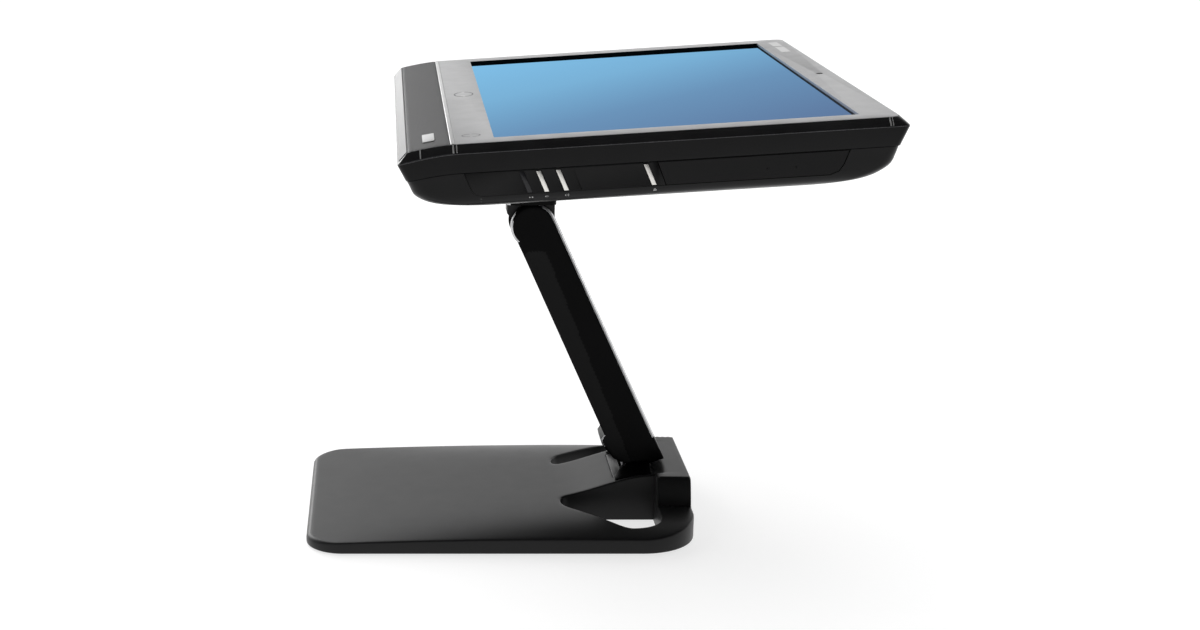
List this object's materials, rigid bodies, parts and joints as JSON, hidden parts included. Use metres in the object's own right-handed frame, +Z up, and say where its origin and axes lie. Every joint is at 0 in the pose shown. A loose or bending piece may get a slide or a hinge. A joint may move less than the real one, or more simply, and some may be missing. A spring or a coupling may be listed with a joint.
{
  "type": "touchscreen computer on tilting desk stand",
  "caption": "All-in-one touchscreen computer lying almost flat on a two-hinge arm and a flat weighted base with leaf-shaped cut-outs.",
  "frame": {"origin": "on the surface the stand rests on, at the middle of the central foot strip", "axes": "+Z up, +Y away from the user, +X to the user's right"},
  "size_m": [0.533, 0.4949, 0.4222],
  "materials": {
    "base_satin_plastic": "fine satin texture",
    "black_plastic": "satin black",
    "frame_black": "polished black",
    "silver_plastic": "silver paint, satin",
    "bright_metal": "satin anodised",
    "grille_metal": "perforated, dark grey",
    "screen_glass": "lit screen behind glass",
    "lit_panel": "display panel",
    "steel": "zinc plated",
    "cast_metal": "as cast",
    "black_steel": "black powder coat",
    "rubber": "matt",
    "circuit_board": "solder mask",
    "dark_plastic": "moulded"
  },
  "bodies": {
    "base": {"base_cover": "base_satin_plastic", "base_plate": "black_steel", "foot_pads": "rubber", "base_screws": "steel", "ramp_cap": "base_satin_plastic", "pedestal": "steel", "pedestal_shoulders": "black_plastic", "pedestal_bolts": "steel"},
    "arm": {"arm_frame": "cast_metal", "arm_cover_left": "black_plastic", "arm_cover_right": "black_plastic", "arm_front_strip": "black_plastic", "arm_rear_strip": "black_plastic", "arm_foot_shield": "black_plastic", "arm_screws": "steel", "lower_hinge_pin": "steel", "lower_washers": "steel", "upper_hinge_pin": "steel", "upper_washers": "steel"},
    "head": {"head_bracket": "black_steel", "bracket_cover": "black_plastic", "bracket_screws": "steel", "mount_plate": "black_steel", "mount_screws": "steel", "rear_cover": "black_plastic", "rear_screws": "steel", "side_frame": "frame_black", "front_bezel": "silver_plastic", "accent_strip": "bright_metal", "speaker_grille": "grille_metal", "chin_trim": "bright_metal", "blank_badge": "bright_metal", "touch_frame": "dark_plastic", "touch_glass": "screen_glass", "screen_panel": "lit_panel", "chassis": "steel", "mainboard": "circuit_board", "heat_sink": "cast_metal", "fan_housing": "dark_plastic", "hard_drive": "cast_metal", "power_board": "circuit_board", "speakers": "dark_plastic", "camera_module": "dark_plastic", "side_panel": "black_plastic", "light_bar": "dark_plastic", "drive_body": "steel", "port_box": "dark_plastic", "power_inlet": "dark_plastic", "usb_ports": "steel", "network_port": "steel"},
    "fan": {"fan_rotor": "dark_plastic"},
    "tray": {"disc_tray": "dark_plastic", "drive_bezel": "black_plastic"},
    "volume_up": {"volume_up_button": "bright_metal"},
    "volume_down": {"volume_down_button": "bright_metal"},
    "eject": {"eject_button": "bright_metal"}
  },
  "joints": [
    {"name": "arm_lean", "type": "hinge", "parent": "base", "child": "arm", "pos_m": [0, 0.133, 0.061], "axis": [1, 0, 0], "range_deg": [-5, 30]},
    {"name": "head_tilt", "type": "hinge", "parent": "arm", "child": "head", "pos_m": [0, 0.03285, 0.28076], "axis": [1, 0, 0], "range_deg": [-4, 71]},
    {"name": "tray_slide", "type": "slide", "parent": "head", "child": "tray", "axis": [1, 0, 0], "range_m": [0, 0.125]},
    {"name": "volume_up_press", "type": "slide", "parent": "head", "child": "volume_up", "axis": [-1, 0, 0], "range_m": [0, 0.001], "stiffness_N_per_m": 600},
    {"name": "volume_down_press", "type": "slide", "parent": "head", "child": "volume_down", "axis": [-1, 0, 0], "range_m": [0, 0.001], "stiffness_N_per_m": 600},
    {"name": "eject_press", "type": "slide", "parent": "head", "child": "eject", "axis": [-1, 0, 0], "range_m": [0, 0.001], "stiffness_N_per_m": 600},
    {"name": "fan_spin", "type": "hinge", "parent": "head", "child": "fan", "pos_m": [-0.17, 0.22017, 0.37638], "axis": [0, -0.0638, 0.998], "continuous": true}
  ]
}
